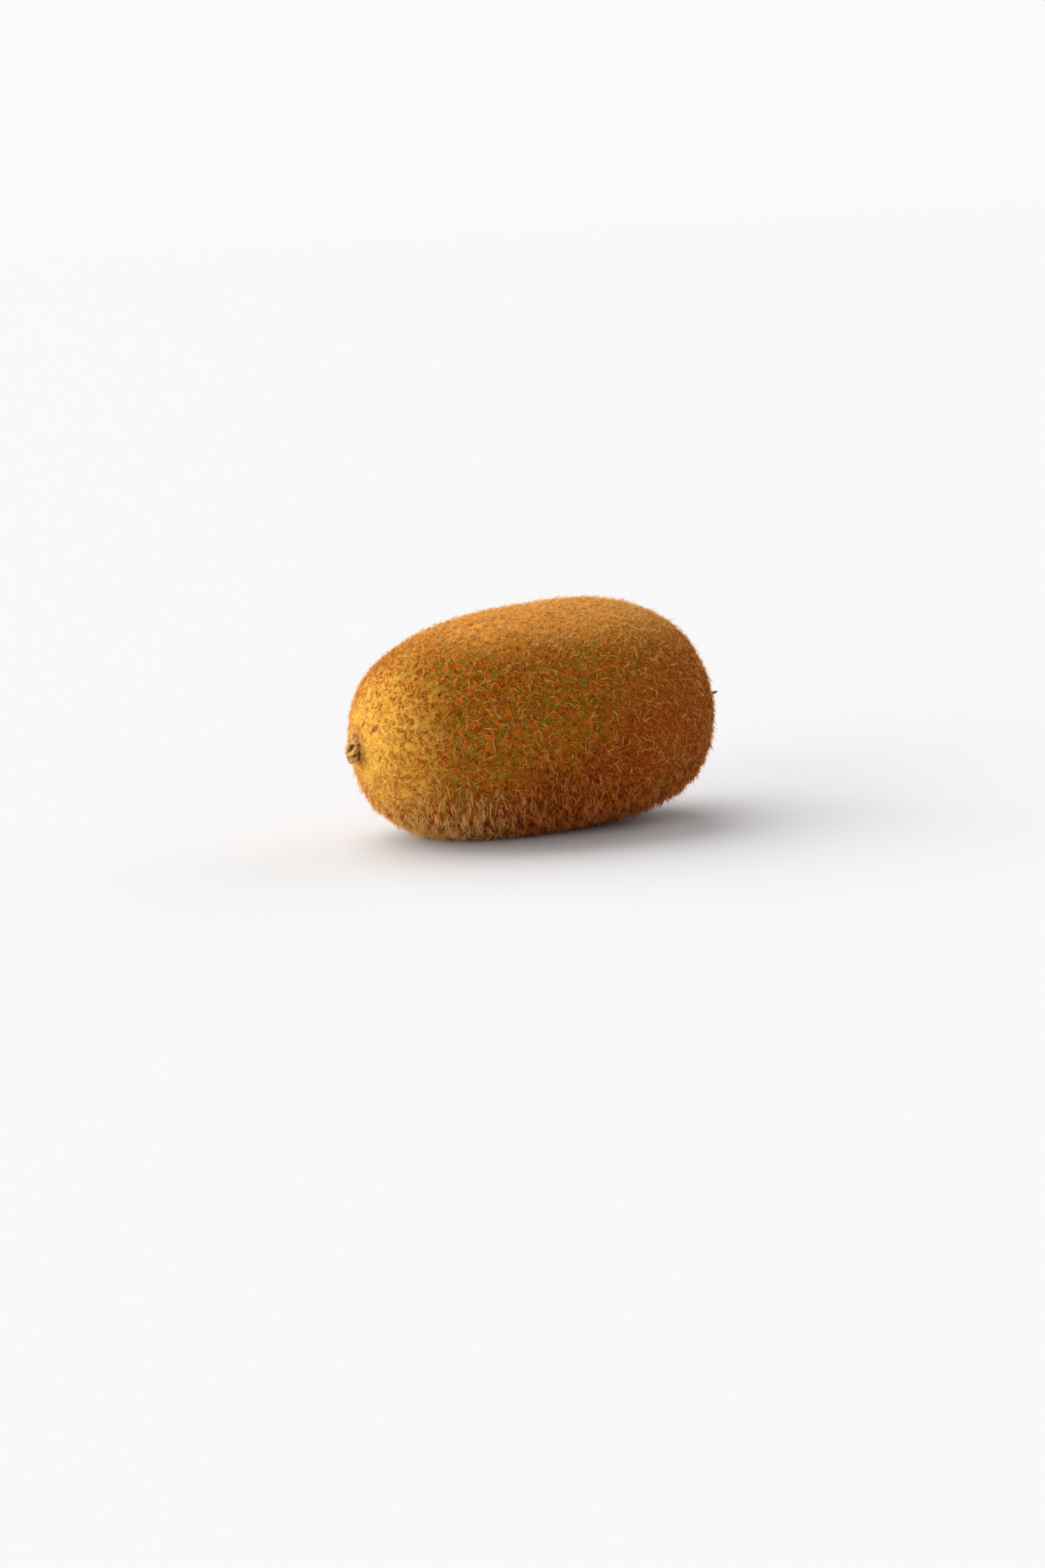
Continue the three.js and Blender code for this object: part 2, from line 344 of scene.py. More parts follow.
def new_piece(name, mesh, material):
    """A piece for a finished mesh, riding on the fruit's body."""
    piece = placed(name, mesh)
    mesh.shade_smooth()
    mesh.materials.append(material)
    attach(piece, BODY)
    return piece


class Nodes:
    """Builds a material's node tree in a few words."""

    def __init__(self, name, roughness, specular=0.3):
        self.material = bpy.data.materials.new(name)
        self.material.use_nodes = True
        self.tree = self.material.node_tree
        self.shader = self.tree.nodes["Principled BSDF"]
        self.shader.inputs["Roughness"].default_value = roughness
        self.shader.inputs["Specular IOR Level"].default_value = specular
        self.place = self.new("ShaderNodeTexCoord").outputs["Object"]

    def new(self, kind, sockets=(), **values):
        """A node with its own values and what its sockets are joined to."""
        node = self.tree.nodes.new(kind)
        for name, value in values.items():
            setattr(node, name, value)
        for name, value in dict(sockets).items():
            self.join(node.inputs[name], value)
        return node

    def join(self, socket, value):
        """Links an output to a socket, or sets the socket to a number or a colour."""
        if isinstance(value, bpy.types.NodeSocket):
            self.tree.links.new(value, socket)
        elif hasattr(value, "__len__") and len(value) == 3 and socket.type == "RGBA":
            socket.default_value = (*value, 1)
        else:
            socket.default_value = value

    def noise(self, size, detail=3.0, roughness=0.6):
        """Noise with lumps of a size, from 0 to 1."""
        sockets = {"Vector": self.place, "Scale": 1 / size, "Detail": detail, "Roughness": roughness}
        return self.new("ShaderNodeTexNoise", sockets).outputs["Fac"]

    def math(self, operation, first, second):
        return self.new("ShaderNodeMath", {0: first, 1: second}, operation=operation).outputs[0]

    def fit(self, value, low, high, to_low=0.0, to_high=1.0):
        """Maps low to high onto another range, and smooths the ends."""
        sockets = enumerate((value, low, high, to_low, to_high))
        node = self.new("ShaderNodeMapRange", sockets, interpolation_type="SMOOTHSTEP")
        return node.outputs["Result"]

    def mix(self, share, first, second, blend="MIX"):
        sockets = {0: share, 6: first, 7: second}
        return self.new("ShaderNodeMix", sockets, data_type="RGBA", blend_type=blend).outputs[2]

    def parts(self, vector):
        return self.new("ShaderNodeSeparateXYZ", {0: vector}).outputs

    def finish(self, base, bump=None, strength=0.4, distance=0.1 * MM):
        """The material with its base colour, and its bumps where it has any."""
        self.join(self.shader.inputs["Base Color"], base)
        if bump is not None:
            sockets = {"Strength": strength, "Distance": distance, "Height": bump}
            node = self.new("ShaderNodeBump", sockets)
            self.join(self.shader.inputs["Normal"], node.outputs["Normal"])
        return self.material


def skin_material(colours):
    """Olive skin with rusty spots; golden at the stalk, partly its own colour and partly painted
    light; tan on the back as a painted highlight; dark along the belly, partly its own colour and
    partly painted shade.
    """
    make = Nodes("kiwi_skin", 0.8, 0.05)
    x, _, z = make.parts(make.place)
    spots = make.fit(make.noise(SPOT_SIZE), *SPOT_EDGE)
    base = make.mix(spots, colours.skin_olive, colours.skin_rust)
    clouds = make.math("SUBTRACT", make.noise(CLOUD_SIZE, 2.0, 0.5), 0.5)
    clouds = make.math("MULTIPLY", clouds, CLOUD_SHIFT)
    # Golden round the stalk: partly the skin's own colour and partly painted light from the left
    gold = make.fit(make.math("ADD", x, clouds), *GOLDEN_AND_LIT_SKIN)
    few = make.math("MULTIPLY", spots, SPOTS_IN_GOLD)
    spotted = make.mix(few, colours.skin_gold, colours.skin_rust)
    base = make.mix(gold, base, spotted)
    # Painted highlight: the skin turns tan on the back, where light falls on the top
    back = make.fit(make.math("ADD", z, clouds), *BACK_HIGHLIGHT_SKIN)
    base = make.mix(make.math("MULTIPLY", back, BACK_HIGHLIGHT_TAN), base, colours.hair_tan)
    # Dark red underside: partly the skin's own colour and partly painted shade
    height = make.math("ADD", z, make.math("MULTIPLY", x, -RED_SLOPE))
    red = make.fit(make.math("ADD", height, clouds), *RED_REGION)
    red = make.math("MULTIPLY", red, make.fit(x, *RED_ALONG))
    base = make.mix(make.math("MULTIPLY", red, RED_DARK_AND_SHADED), base, colours.skin_dark)
    base = make.mix(make.fit(x, *FAR_REGION, 0.0, FAR_DARK), base, colours.skin_dark)
    grain = make.noise(GRAIN_SIZE)
    base = make.mix(make.fit(grain, 0.3, 0.7, 0.0, GRAIN_DARK), base, colours.skin_grain)
    return make.finish(base, grain)


# The tints of the hairs, from dark at 0 to peach at 1
HAIR_SHADES = ("dark", "rust", "tan", "gold", "blond", "peach")
RUST_TINT = 0.3  # the darkest of the pale kinds
PALE_TINT = 0.82  # the palest blond, past which tints turn to peach
PALE_EDGE = (0.35, 0.75)  # where hairs grow pale at their tips
PEACH_EDGE = (PALE_TINT, 0.9)
ROOT_REACH = 0.55  # share of a hair's length over which the painted shade at its root fades
TIP_REACH = (0.4, 1.0)  # shares of its length over which its tip pales
PASSING_EDGE = (0.4, 0.8)  # where hairs let more light through
HAIR_PASSES = 0.45  # share of the light that a hair lets through
PALE_PASSES = 0.75  # the same for a pale one


def hair_material(colours):
    """Hair whose map holds its tint from left to right and its length from bottom to top."""
    make = Nodes("kiwi_hair", 0.7, 0.05)
    map_node = make.new("ShaderNodeUVMap", uv_map=MAP_NAME)
    tint, up = make.parts(map_node.outputs["UV"])[:2]
    ramp = make.new("ShaderNodeValToRGB", {"Fac": tint})
    stops = ramp.color_ramp.elements
    while len(stops) < len(HAIR_SHADES):
        stops.new(0.5)
    for index, shade in enumerate(HAIR_SHADES):
        stops[index].position = index / (len(HAIR_SHADES) - 1)
        stops[index].color = (*getattr(colours, f"hair_{shade}"), 1)
    pale = make.fit(tint, *PALE_EDGE, 0.05, 0.8)
    pale = make.math("SUBTRACT", pale, make.fit(tint, *PEACH_EDGE, 0.0, 0.55))
    # Painted shade: each hair darkens towards its root
    painted_root_shade = make.mix(pale, colours.root_painted_shade, colours.pale_root_painted_shade)
    rooted = make.mix(make.fit(up, 0.0, ROOT_REACH), painted_root_shade, (1, 1, 1))
    base = make.mix(1.0, ramp.outputs["Color"], rooted, "MULTIPLY")
    tips = make.math("MULTIPLY", pale, make.fit(up, *TIP_REACH, 0.0, 0.6))
    base = make.mix(tips, base, colours.hair_pale)
    lit = make.mix(pale, base, colours.hair_pale)
    passing = make.new("ShaderNodeBsdfTranslucent", {"Color": lit})
    share = make.fit(tint, *PASSING_EDGE, HAIR_PASSES, PALE_PASSES)
    shaders = {"Fac": share, 1: make.shader.outputs["BSDF"], 2: passing.outputs["BSDF"]}
    both = make.new("ShaderNodeMixShader", shaders)
    make.join(make.tree.nodes["Material Output"].inputs["Surface"], both.outputs["Shader"])
    return make.finish(base)


# Hairs

ROOT_DEPTH = 0.05 * MM
MAP_MARGIN = 0.02  # round what a hair takes of its map
MAP_BREADTH = 0.006  # half of what a hair takes of its map from left to right
LOOSE_TUFTS = 0.7  # share of their pull that tufts lose at the stub
BRIGHTEST_TUFT = 2.2  # most tufts are a little dark, and some much brighter
FUZZ_PATCH = 2.2 * MM  # size of the patches where the fuzz is denser
BELLY_HAIRS = (15 * MM, 4 * MM)  # above the floor
BELLY_GOLD = (-4 * MM, -24 * MM)  # along the fruit; towards the stalk fewer hairs are dark, a painted light on the lower side
DARK_SHARE = 0.15  # of the belly's hairs
DARK_FAR_SHARE = 0.3  # what the styles' end adds to it
DARK_TINTS = (0.02, 0.28)
PEACH_TINTS = (0.88, 0.99)
GOLD_SHIFT = 0.22  # of a peach tint, to make it golden
COLLAR_TINTS = (0.3, 0.8)
COLLAR_RING = 3 * MM  # from the stub's seat to most of the hairs round it
COLLAR_AIM = Vector((0.3 * MM, 0, 3 * MM))  # from there to where they point


class HairKind(NamedTuple):
    """How one kind of hair grows, with the ranges that its draws come from."""

    seed: int
    stray: float  # how far hairs lie off their common way, as a share of it
    length: tuple  # shares of the kind's own length
    width: tuple  # in mm
    lean: tuple  # from upright at the root, in radians
    droop: tuple  # how much further the tip leans
    curl: tuple = ()  # shares of its length by which a hair waves aside
    waves: tuple = ()  # how far its wave runs, in radians
    way: tuple = (0.3, 0, -1)  # the way that hairs lie, before they follow the skin
    tufts: int = 0
    pull: float = 0.0  # share of the way to its tuft's middle by which a root moves
    tuft_stray: float = 0.0  # how far tufts lie off the common way
    combed: float = 0.0  # how much less they do on the belly
    near: tuple = STEM_REGION  # where the stub changes the length
    at_stem: float = 0.0  # share that the length gains at the stub
    at_belly: float = 0.0
    at_far: float = 0.0
    slim: float = 0.0  # share that the width loses at the stub


FELT = HairKind(
    seed=21,
    stray=1.6,
    length=(0.6, 1.25),
    width=(0.11, 0.17),
    lean=(0.8, 1.35),
    droop=(0, 0.4),
    way=(1, 0, -0.3),
    tufts=6500,
    pull=0.6,
    at_stem=-0.25,
    slim=0.35,
)
FUZZ = HairKind(
    seed=22,
    stray=0.55,
    length=(0.5, 1.3),
    width=(0.13, 0.20),
    lean=(0.85, 1.35),
    droop=(0, 0.6),
    curl=(0.08, 0.35),
    waves=(2.5, 7),
    tufts=8500,
    pull=0.55,
    tuft_stray=2.4,
    combed=1.8,
    near=(11 * MM, 4 * MM),
    at_stem=-0.4,
    at_belly=0.35,
    at_far=-0.2,
    slim=0.4,
)
LONG = HairKind(
    seed=23,
    stray=1.1,
    length=(0.4, 1.15),
    width=(0.12, 0.18),
    lean=(0.85, 1.25),
    droop=(0.2, 0.7),
    curl=(0.04, 0.18),
    waves=(1.5, 6),
    way=(0.4, 0, -1),
    near=(13 * MM, 5 * MM),
    at_stem=-0.5,
)
BELLY = HairKind(
    seed=24,
    stray=0.15,
    length=(0.7, 1.3),
    width=(0.13, 0.19),
    lean=(0.75, 1.15),
    droop=(0, 0.5),
    curl=(0.01, 0.07),
    waves=(1.5, 4),
    way=(0.1, 0, -1),
    tufts=3000,
    pull=0.45,
    tuft_stray=0.3,
    at_stem=-0.3,
)
DOWN = HairKind(
    seed=25, stray=2, length=(0.6, 1.3), width=(0.035, 0.05), lean=(0.05, 0.6), droop=(0, 0.6)
)
COLLAR = HairKind(
    seed=26,
    stray=0.35,
    length=(0.5, 1.1),
    width=(0.11, 0.17),
    lean=(0.9, 1.3),
    droop=(-0.3, 0.3),
    curl=(0.03, 0.2),
    waves=(2, 6),
)


class Tint(NamedTuple):
    """A kind's tint, and what its tufts, chance and each region of the skin add to it."""

    middle: float
    chance: float
    tufts: float = 0.0
    stem: float = 0.0
    back: float = 0.0
    red: float = 0.0
    far: float = 0.0


# back: a painted highlight, paler hairs on the top where the light falls
# red: the darker underside, partly the hairs' own colour and partly painted shade
# stem: golden round the stalk, partly the hairs' own colour and partly painted light from the left
FELT_TINT = Tint(middle=0.14, tufts=0.10, chance=0.04, stem=0.42, back=0.5, red=-0.16, far=0.08)
FUZZ_TINT = Tint(middle=0.27, tufts=0.12, chance=0.05, stem=0.32, back=0.42, red=-0.26, far=0.06)
DOWN_TINT = Tint(middle=0.57, chance=0.03, back=0.24, red=-0.2)
LONG_TINT = Tint(middle=0.57, chance=0.11, red=-0.1)
COLLAR_TINT = Tint(middle=0.58, chance=0.09)


def strand_shape(cuts):
    """A unit hair, modelled once: for each of its points its height and direction, and its faces."""
    bm = bmesh.new()
    bmesh.ops.create_cone(bm, cap_ends=True, segments=3, radius1=1, radius2=0, depth=1)
    bmesh.ops.remove_doubles(bm, verts=bm.verts, dist=1e-5)
    bmesh.ops.translate(bm, verts=bm.verts, vec=(0, 0, 0.5))
    cut_across(bm, cuts + 1)
    bmesh.ops.triangulate(bm, faces=bm.faces)
    bmesh.ops.recalc_face_normals(bm, faces=bm.faces)
    bm.verts.index_update()
    points = np.array([vert.co for vert in bm.verts])
    faces = np.array([[vert.index for vert in face.verts] for face in bm.faces])
    bm.free()
    across = np.hypot(points[:, 0], points[:, 1])
    round_to = points[:, :2] / np.maximum(across, 1e-9)[:, None] * (across > 1e-6)[:, None]
    return points[:, 2], round_to, faces


def unit(vectors):
    return vectors / np.maximum(np.linalg.norm(vectors, axis=1, keepdims=True), 1e-12)


def bent_hairs(shape, hairs):
    """The points of every hair, one row to a hair, which arches from its first lean to its last."""
    height, round_to, _ = shape
    first, last = hairs["lean"], hairs["lean"] + hairs["droop"]
    turn = np.where(np.abs(last - first) < 1e-3, 1e-3, last - first)
    lean = first[:, None] + turn[:, None] * height
    rise = (np.sin(lean) - np.sin(first)[:, None]) / turn[:, None]
    reach = (np.cos(first)[:, None] - np.cos(lean)) / turn[:, None]
    wave = hairs["curl"][:, None] * (
        np.sin(hairs["waves"][:, None] * height + hairs["phase"][:, None])
        - np.sin(hairs["phase"])[:, None]
    )
    normal, lay = hairs["normal"], hairs["lay"]
    side = np.cross(normal, lay)
    size = hairs["length"][:, None, None]
    spine = (
        hairs["root"][:, None, :]
        + size * rise[..., None] * normal[:, None, :]
        + size * reach[..., None] * lay[:, None, :]
        + size * wave[..., None] * side[:, None, :]
    )
    radius = hairs["width"][:, None] / 2 * (1 - 0.75 * height**1.5)
    upright = np.cos(lean)[..., None] * lay[:, None, :] - np.sin(lean)[..., None] * normal[:, None, :]
    thick = round_to[:, 0, None] * side[:, None, :] + round_to[:, 1, None] * upright
    return spine + radius[..., None] * thick


def hair_mesh(name, shape, hairs):
    """One closed mesh of many hairs, with a map that holds each hair's tint and height."""
    height, round_to, faces = shape
    points = bent_hairs(shape, hairs)
    low = points[..., 2]
    points[..., 2] = np.where(low < FLOOR_FELT, FLOOR_FELT + PRESSED * (low - FLOOR_FELT), low)
    points[..., 2] = np.maximum(points[..., 2], LOWEST_HAIR)
    count, corners = len(points), len(height)
    mesh = bpy.data.meshes.new(name)
    mesh.vertices.add(count * corners)
    set_points(mesh, points.reshape(-1, 3))
    mesh.loops.add(count * faces.size)
    mesh.polygons.add(count * len(faces))
    every = (np.arange(count)[:, None, None] * corners + faces).astype(np.int32)
    mesh.loops.foreach_set("vertex_index", every.ravel())
    mesh.polygons.foreach_set("loop_start", np.arange(count * len(faces), dtype=np.int32) * 3)
    mesh.update(calc_edges=True)
    around = np.arctan2(round_to[:, 1], round_to[:, 0])
    column = MAP_BREADTH * np.sin(around) * (np.abs(round_to).sum(1) > 0)
    row = MAP_MARGIN + (1 - 3 * MAP_MARGIN) * height
    row += MAP_MARGIN * np.cos(around) * (1 - height)
    tint = np.clip(hairs["tint"], 0.01, 0.99)
    spread = np.stack([tint[:, None] + column, np.broadcast_to(row, (count, corners))], -1)
    layer = mesh.uv_layers.new(name=MAP_NAME)
    on_map = spread.reshape(-1, 2)[every.ravel()]
    layer.data.foreach_set("uv", on_map.astype(np.float32).ravel())
    return mesh


class Skin:
    """The finished skin, as a place to root hairs."""

    def __init__(self, mesh):
        mesh.calc_loop_triangles()
        corners = np.empty(len(mesh.loop_triangles) * 3, dtype=np.int32)
        mesh.loop_triangles.foreach_get("vertices", corners)
        self.corners = corners.reshape(-1, 3)
        self.points = points_of(mesh)
        self.normals = normals_of(mesh)
        first, second, third = (self.points[self.corners[:, i]] for i in range(3))
        self.area = np.linalg.norm(np.cross(second - first, third - first), axis=1) / 2

    def scatter(self, count, rng, density=None):
        """Places roots evenly over the skin, or by a density, and drops those on the floor."""
        weight = self.area.copy()
        if density is not None:
            weight *= density(self.points[self.corners].mean(1))
        chosen = rng.choice(len(weight), count, p=weight / weight.sum())
        shares = rng.dirichlet((1, 1, 1), count)[..., None]
        root = (self.points[self.corners[chosen]] * shares).sum(1)
        normal = unit((self.normals[self.corners[chosen]] * shares).sum(1))
        keep = root[:, 2] > FLOOR_FELT
        return root[keep], normal[keep]


def tangents(normal, towards, stray, rng):
    """Directions along the skin: towards a way, with a share of chance."""
    chance = rng.normal(size=normal.shape)
    wanted = unit(np.broadcast_to(towards, normal.shape)) + stray * chance
    along = wanted - (wanted * normal).sum(1, keepdims=True) * normal
    return unit(along)


def regions(root):
    """How far each root is from the stub, and its share of each region of the skin."""
    off_stub = from_stub(root)
    x, z = root[:, 0], root[:, 2]
    return SimpleNamespace(
        off_stub=off_stub,
        stem=smooth_step(off_stub, *STEM_REGION),
        belly=smooth_step(z, *BELLY_REGION),
        back=smooth_step(z, *BACK_HIGHLIGHT_REGION),
        red=smooth_step(z - RED_SLOPE * x, *RED_REGION) * smooth_step(x, *RED_ALONG),
        far=smooth_step(x, *FAR_REGION),
    )


def grow(kind, skin, count, density=None):
    """The draws and the roots of one kind of hair, clear of the stub."""
    rng = np.random.default_rng(kind.seed)
    root, normal = skin.scatter(count, rng, density)
    clear = from_stub(root) > STUB_SEAT_RADIUS
    return rng, root[clear], normal[clear]


def tufted(kind, skin, rng, root, share=1.0):
    """Draws roots together in tufts: the new roots, and the number of each one's tuft."""
    middles, _ = skin.scatter(kind.tufts, rng)
    tree = kdtree.KDTree(len(middles))
    for index, middle in enumerate(middles):
        tree.insert(middle, index)
    tree.balance()
    nearest = np.array([tree.find(place)[1] for place in root])
    pull = kind.pull * np.broadcast_to(share, len(root))
    return root + pull[:, None] * (middles[nearest] - root), nearest


def tuft_ways(kind, rng, root, tuft):
    """The way of each hair's tuft. On the belly the tufts may stray less."""
    stray = kind.tuft_stray - kind.combed * regions(root).belly[:, None]
    return kind.way + stray * rng.normal(size=(kind.tufts, 3))[tuft]


def strands(kind, rng, root, normal, way, length):
    """All of a kind's hairs but their tint, and their places on the skin."""
    count, at = len(root), regions(root)
    close = smooth_step(at.off_stub, *kind.near)
    share = 1 + kind.at_stem * close + kind.at_belly * at.belly + kind.at_far * at.far
    hairs = {
        "root": root - ROOT_DEPTH * normal,
        "normal": normal,
        "lay": tangents(normal, way, kind.stray, rng),
        "length": length * share * rng.uniform(*kind.length, count),
        "width": (1 - kind.slim * at.stem) * MM * rng.uniform(*kind.width, count),
        "lean": rng.uniform(*kind.lean, count),
        "droop": rng.uniform(*kind.droop, count),
    }
    for key, span in (("curl", kind.curl), ("waves", kind.waves), ("phase", (0, 2 * math.pi))):
        hairs[key] = rng.uniform(*span, count) if kind.curl else np.zeros(count)
    return hairs, at


def tufted_hairs(kind, tint, skin, count, length, density=None):
    """The felt or the fuzz, whose tint comes from tuft, chance and place."""
    rng, root, normal = grow(kind, skin, count, density)
    root, tuft = tufted(kind, skin, rng, root, 1 - LOOSE_TUFTS * regions(root).stem)
    bright = np.clip(rng.exponential(size=kind.tufts) - 1, -1, BRIGHTEST_TUFT)[tuft]
    way = tuft_ways(kind, rng, root, tuft) if kind.tuft_stray else kind.way
    hairs, at = strands(kind, rng, root, normal, way, length)
    total = tint.middle + tint.tufts * bright + tint.chance * rng.normal(size=len(root))
    total += tint.stem * at.stem + tint.back * at.back
    total += tint.red * at.red * (1 - at.far) + tint.far * at.far
    hairs["tint"] = np.minimum(total, PALE_TINT)
    return hairs


def felt_hairs(skin, fuzz):
    """The short felt: straight hairs in rusty tufts."""
    return tufted_hairs(FELT, FELT_TINT, skin, fuzz.felt_count, fuzz.felt_length)


def fuzz_hairs(skin, fuzz):
    """The curly fuzz, in loose tufts and denser in patches."""

    def density(place):
        return np.clip(1 + 0.8 * noise_at(place, FUZZ_PATCH, 8.0), 0.1, 3)

    return tufted_hairs(FUZZ, FUZZ_TINT, skin, fuzz.fuzz_count, fuzz.fuzz_length, density)


def pale_tints(rng, tint, chance):
    """The tints of a pale kind, with a share of chance."""
    return np.clip(tint + chance * rng.normal(size=len(tint)), RUST_TINT, PALE_TINT)


def down_hairs(skin, fuzz):
    """The fine pale down, which softens the outline."""
    rng, root, normal = grow(DOWN, skin, fuzz.down_count)
    hairs, at = strands(DOWN, rng, root, normal, DOWN.way, fuzz.down_length)
    # Painted highlight: the down is paler on the back, and round the stalk partly as painted light
    tint = DOWN_TINT.middle + DOWN_TINT.back * np.maximum(at.back, at.stem)
    tint += DOWN_TINT.red * at.red * (1 - at.far)
    hairs["tint"] = pale_tints(rng, tint, DOWN_TINT.chance)
    return hairs


def long_hairs(skin, fuzz):
    """The sparse long hairs, pale and a little curved."""
    rng, root, normal = grow(LONG, skin, fuzz.long_count)
    hairs, at = strands(LONG, rng, root, normal, LONG.way, fuzz.long_length)
    tint = LONG_TINT.middle + LONG_TINT.red * at.red
    hairs["tint"] = pale_tints(rng, tint, LONG_TINT.chance)
    return hairs


def belly_hairs(skin, fuzz):
    """The longer hairs that hang from the belly: golden at the stalk, where fewer are dark as painted
    light, then peach and some dark.
    """

    def density(place):
        return smooth_step(place[:, 2], *BELLY_HAIRS)

    rng, root, normal = grow(BELLY, skin, fuzz.belly_count, density)
    root, tuft = tufted(BELLY, skin, rng, root)
    way = tuft_ways(BELLY, rng, root, tuft)
    hairs, at = strands(BELLY, rng, root, normal, way, fuzz.long_length)
    gold = smooth_step(root[:, 0], *BELLY_GOLD)
    # Painted light: towards the stalk fewer of the belly's hairs are dark
    dark = rng.uniform(size=len(root)) < DARK_SHARE * (1 - gold) + DARK_FAR_SHARE * at.far
    dark_tint = rng.uniform(*DARK_TINTS, len(root))
    pale_tint = rng.uniform(*PEACH_TINTS, len(root)) - GOLD_SHIFT * gold
    hairs["tint"] = np.where(dark, dark_tint, pale_tint)
    return hairs


def collar_hairs(skin, fuzz):
    """The golden hairs that lean on the stub."""

    def density(place):
        return np.exp(-(((from_stub(place) - COLLAR_RING) / MM) ** 2))

    rng, root, normal = grow(COLLAR, skin, fuzz.collar_count, density)
    way = np.array(stem_end() @ COLLAR_AIM) - root
    hairs, _ = strands(COLLAR, rng, root, normal, way, MM)
    tint = COLLAR_TINT.middle + COLLAR_TINT.chance * rng.normal(size=len(root))
    hairs["tint"] = np.clip(tint, *COLLAR_TINTS)
    return hairs


# The stub and the styles


def turned(rings, steps):
    """A closed form turned round z from rings of (radius, height) in mm that end on the axis."""
    bm = bmesh.new()
    line = [bm.verts.new((radius * MM, 0, height * MM)) for radius, height in rings]
    edges = [bm.edges.new(pair) for pair in zip(line, line[1:])]
    bmesh.ops.spin(
        bm,
        geom=line + edges,
        cent=(0, 0, 0),
        axis=(0, 0, 1),
        steps=steps,
        angle=2 * math.pi,
        use_merge=True,
    )
    bmesh.ops.remove_doubles(bm, verts=bm.verts, dist=1e-7)
    bmesh.ops.recalc_face_normals(bm, faces=bm.faces)
    bmesh.ops.subdivide_edges(bm, edges=bm.edges, cuts=1, use_grid_fill=True, smooth=0.5)
    return bm


SHADE_AND_TONE_NAME = "crease"
WOOD_GRAIN = 0.3 * MM
STYLE_REACH = (33.5 * MM, 36.5 * MM)  # along the fruit, from the styles' roots to their tips


def wood_material(colours):
    """Dry wood: light lumps, darker by what its mesh holds: painted shade on the stub and the sepals'
    own dark tone.
    """
    make = Nodes("stalk_wood", 0.8, 0.15)
    crease = make.new("ShaderNodeAttribute", attribute_name=SHADE_AND_TONE_NAME).outputs["Fac"]
    grain = make.noise(WOOD_GRAIN)
    light = make.mix(make.fit(grain, 0.35, 0.65), colours.wood_light, colours.wood_pale)
    # Painted shade on the stub, and the sepals' own dark tone
    dark = make.fit(make.math("ADD", crease, make.math("MULTIPLY", grain, 0.3)), 0.25, 0.85)
    base = make.mix(dark, light, colours.wood_shade_and_dark)
    return make.finish(base, grain, 0.5)


def style_material(colours):
    """Dried style: dark at its root and lighter to its tip."""
    make = Nodes("dried_style", 0.7, 0.25)
    x = make.parts(make.place)[0]
    share = make.fit(x, *STYLE_REACH)
    grain = make.noise(WOOD_GRAIN)
    share = make.math("MULTIPLY", share, make.fit(grain, 0.3, 0.6, 0.5, 1.0))
    base = make.mix(share, colours.style_dark, colours.style_light)
    return make.finish(base, grain)


STUB_RINGS = (  # radius and height of the stub's side and broken end, in mm
    (0, 0),
    (1.0, 0),
    (2.1, 0),
    (2.2, 0.6),
    (2.3, 1.2),
    (2.32, 1.8),
    (2.25, 2.3),
    (2.1, 2.7),
    (1.8, 3.0),
    (1.4, 3.2),
    (1.0, 3.3),
    (0.7, 3.35),
    (0.5, 3.37),
    (0.25, 3.38),
    (0, 3.38),
)
STUB_STEPS = 64
STUB_SQUAT = 0.86  # how high its end is, as a share of its width
STUB_LEAN = 0.35  # down, for each unit of its height
STUB_TURN = 0.45  # towards -Y, for each unit of its height
STUB_LOBES = 5
LOBE_PHASE = 0.8
LOBE_REACH = 0.8 * MM  # from its middle to where the lobes are full
STUB_LUMP = 1.1 * MM
STUB_FINE_LUMP = 0.5 * MM
PITH_RADIUS = 0.6 * MM
STUB_FOOT = (1.3 * MM, 0.35 * MM)  # height and spread of the painted shade round its foot
SPLIT_TURN = math.radians(55)  # the way across the split in the stub's end
SPLIT_WIDTH = 0.4 * MM
SPLIT_DEPTH = 0.35 * MM


def paint_shade_and_tone(mesh, shades):
    """Writes how dark each point is, from 0 to 1: painted shade on the stub, the sepals' own tone."""
    layer = mesh.attributes.new(SHADE_AND_TONE_NAME, "FLOAT", "POINT")
    layer.data.foreach_set("value", np.clip(shades, 0, 1).astype(np.float32))


